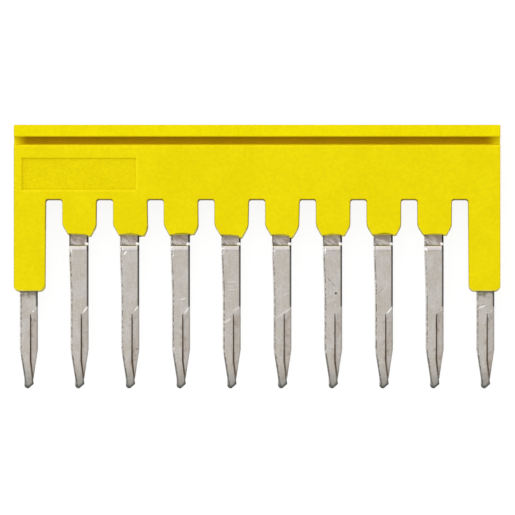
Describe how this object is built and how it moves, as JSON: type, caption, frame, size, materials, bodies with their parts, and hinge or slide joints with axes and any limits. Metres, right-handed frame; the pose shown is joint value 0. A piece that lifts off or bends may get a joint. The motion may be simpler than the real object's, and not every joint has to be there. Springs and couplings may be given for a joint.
{
  "type": "terminal block jumper bar",
  "caption": "Flat plug-in bridge with a toothed plastic body, two long end legs and a row of split sprung contact pins that join neighbouring terminals.",
  "frame": {"origin": "middle of the flat top face, which is pressed to plug the bar in", "axes": "+X along the row of poles, +Y out of the top face, so that the pins point to -Y, and +Z out of the front, which faces up as the bar lies on its back"},
  "size_m": [0.049, 0.0265, 0.0028],
  "materials": {
    "yellow_plastic": "moulded polyamide with a fine eroded texture",
    "plated_copper": "matte tin plating over stamped copper, lightly scratched"
  },
  "bodies": {
    "root": {"insulating_body": "yellow_plastic", "contact_comb": "plated_copper"}
  },
  "joints": []
}
